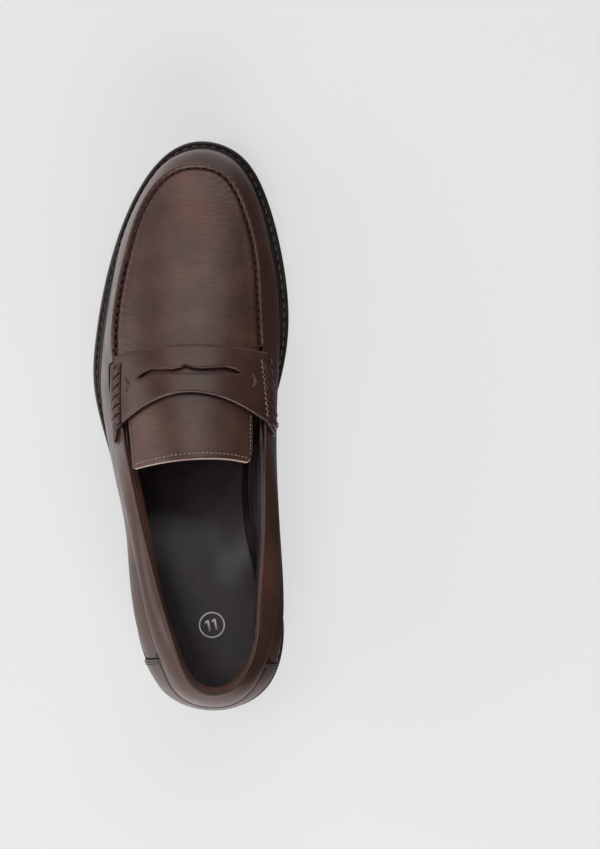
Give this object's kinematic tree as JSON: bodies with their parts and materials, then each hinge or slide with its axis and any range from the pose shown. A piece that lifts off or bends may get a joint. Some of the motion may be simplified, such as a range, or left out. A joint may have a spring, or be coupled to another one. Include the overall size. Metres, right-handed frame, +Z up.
{
  "type": "penny loafer",
  "caption": "Left slip-on leather shoe with a raised apron seam, a slotted saddle strap, a short tongue, a stitched welt and a low stacked heel.",
  "frame": {"origin": "on the floor, at the middle of the shoe's box in plan", "axes": "+Y points to the toe, +X to the inner side of the foot, +Z up"},
  "size_m": [0.1061, 0.308, 0.0925],
  "materials": {
    "rubber_sole": "matt dark brown moulded rubber, fine side texture",
    "welt_strip": "satin dark brown stitched storm welt",
    "upper_leather": "smooth burnished dark brown leather, soft sheen",
    "lining_leather": "thin smooth reddish brown lining",
    "sock_leather": "near-black fine grained sock leather",
    "thread": "waxed dark brown thread",
    "welt_thread": "waxed reddish brown thread",
    "fibreboard": "compressed cellulose board",
    "cork": "granulated cork sheet",
    "stiffener_board": "thermoplastic stiffener sheet",
    "foam": "soft latex foam",
    "steel": "spring steel"
  },
  "bodies": {
    "shoe": {"apron": "upper_leather", "apron_lining": "lining_leather", "apron_thread": "thread", "bar_tacks": "thread", "collar_band": "upper_leather", "collar_padding": "foam", "cork_filler": "cork", "counter_stiffener": "stiffener_board", "heel_lower_lift": "rubber_sole", "heel_nails": "steel", "heel_overlay": "upper_leather", "heel_pad": "foam", "heel_top_piece": "rubber_sole", "heel_upper_lift": "rubber_sole", "insole_board": "fibreboard", "lateral_lacing": "thread", "lateral_quarter": "upper_leather", "lateral_quarter_lining": "lining_leather", "medial_lacing": "thread", "medial_quarter": "upper_leather", "medial_quarter_lining": "lining_leather", "outsole": "rubber_sole", "overlay_thread": "thread", "saddle_strap": "upper_leather", "shank_cover": "fibreboard", "sock_liner": "sock_leather", "steel_shank": "steel", "strap_backing": "lining_leather", "toe_puff": "stiffener_board", "topline_binding": "upper_leather", "vamp_lining": "lining_leather", "vamp_wall": "upper_leather", "welt": "welt_strip", "welt_thread": "welt_thread"},
    "tongue": {"tongue": "upper_leather", "tongue_lining": "lining_leather", "tongue_thread": "thread"}
  },
  "joints": [
    {"name": "tongue_lift", "type": "hinge", "parent": "shoe", "child": "tongue", "pos_m": [0, 0.0165, 0.076], "axis": [-1, 0, 0], "range_deg": [0, 20], "stiffness_Nm_per_rad": 0.02}
  ]
}
